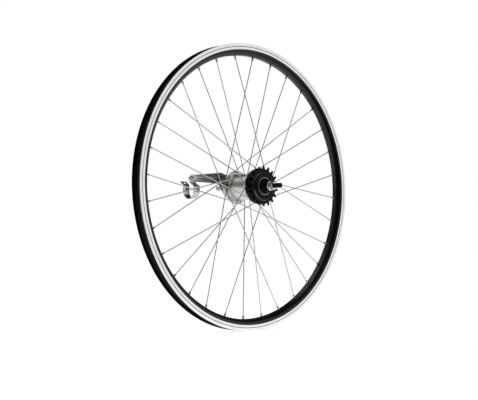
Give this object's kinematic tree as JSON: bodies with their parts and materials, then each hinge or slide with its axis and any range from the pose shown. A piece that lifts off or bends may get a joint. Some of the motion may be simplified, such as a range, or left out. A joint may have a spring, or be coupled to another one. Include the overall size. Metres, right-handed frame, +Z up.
{
  "type": "bicycle wheel",
  "caption": "Spoked rear bicycle wheel without tyre: double wall rim, crossed wire spokes and a geared hub with sprocket, back pedal brake arm and frame clip.",
  "frame": {"origin": "middle of the axle, in the middle plane of the rim", "axes": "+Y along the axle towards the brake arm, +Z up, the sprocket on the -Y side"},
  "size_m": [0.5719, 0.183, 0.572],
  "materials": {
    "rim_alloy": "black anodised, with bare turned brake tracks",
    "tape": "black rim tape",
    "spoke_steel": "drawn stainless wire",
    "nipple_plate": "nickel plated",
    "hub_alloy": "turned and clear coated",
    "cap_black": "black, satin",
    "axle_black": "blackened steel",
    "sprocket_black": "black oxide",
    "hardened_steel": "ground",
    "gear_steel": "oiled steel",
    "ball_steel": "polished",
    "shoe_bronze": "bronze lining",
    "spring_steel": "spring steel",
    "zinc_steel": "zinc plated",
    "arm_steel": "pressed and plated",
    "clip_chrome": "bright plated"
  },
  "bodies": {
    "axle_set": {"axle": "axle_black", "right_cone": "hardened_steel", "cone_cap": "cap_black", "right_locknut": "zinc_steel", "brake_cone": "hardened_steel", "brake_shoes": "shoe_bronze", "shoe_spring": "spring_steel", "left_dust_cap": "zinc_steel", "brake_arm": "arm_steel", "left_locknut": "zinc_steel", "axle_washers": "zinc_steel", "axle_nuts": "zinc_steel", "clip_bolt": "zinc_steel", "clip_nut": "zinc_steel", "left_balls": "ball_steel", "cone_balls": "ball_steel"},
    "wheel": {"rim": "rim_alloy", "rim_tape": "tape", "drive_side_spokes": "spoke_steel", "left_side_spokes": "spoke_steel", "nipples": "nipple_plate", "hub_shell": "hub_alloy", "hub_flanges": "hub_alloy", "ball_ring": "hardened_steel", "hub_cap": "cap_black"},
    "driver_set": {"driver": "hardened_steel", "sprocket": "sprocket_black", "snap_ring": "spring_steel", "planet_carrier": "gear_steel", "planet_pins": "gear_steel", "shell_balls": "ball_steel"},
    "ring": {"ring_gear": "gear_steel"},
    "planet_1": {"planet_gear_1": "gear_steel"},
    "planet_2": {"planet_gear_2": "gear_steel"},
    "planet_3": {"planet_gear_3": "gear_steel"},
    "clip": {"arm_clip": "clip_chrome"}
  },
  "joints": [
    {"name": "wheel_spin", "type": "hinge", "parent": "axle_set", "child": "wheel", "pos_m": [0, 0, 0], "axis": [0, 1, 0], "continuous": true},
    {"name": "driver_spin", "type": "hinge", "parent": "axle_set", "child": "driver_set", "pos_m": [0, 0, 0], "axis": [0, 1, 0], "continuous": true},
    {"name": "ring_spin", "type": "hinge", "parent": "axle_set", "child": "ring", "pos_m": [0, 0, 0], "axis": [0, 1, 0], "continuous": true},
    {"name": "clip_swivel", "type": "hinge", "parent": "axle_set", "child": "clip", "pos_m": [-0.104, 0.05, 0.0155], "axis": [0, 1, 0], "range_deg": [-55, 225]},
    {"name": "planet_1_spin", "type": "hinge", "parent": "driver_set", "child": "planet_1", "pos_m": [0, 0, 0.01324], "axis": [0, 1, 0], "continuous": true},
    {"name": "planet_2_spin", "type": "hinge", "parent": "driver_set", "child": "planet_2", "pos_m": [-0.01146, 0, -0.00662], "axis": [0, 1, 0], "continuous": true},
    {"name": "planet_3_spin", "type": "hinge", "parent": "driver_set", "child": "planet_3", "pos_m": [0.01146, 0, -0.00662], "axis": [0, 1, 0], "continuous": true}
  ],
  "couplings": [
    {"joint": "ring_spin", "follows": "driver_spin", "ratio": 1.3846},
    {"joint": "planet_1_spin", "follows": "driver_spin", "ratio": 1.25},
    {"joint": "planet_2_spin", "follows": "driver_spin", "ratio": 1.25},
    {"joint": "planet_3_spin", "follows": "driver_spin", "ratio": 1.25}
  ]
}
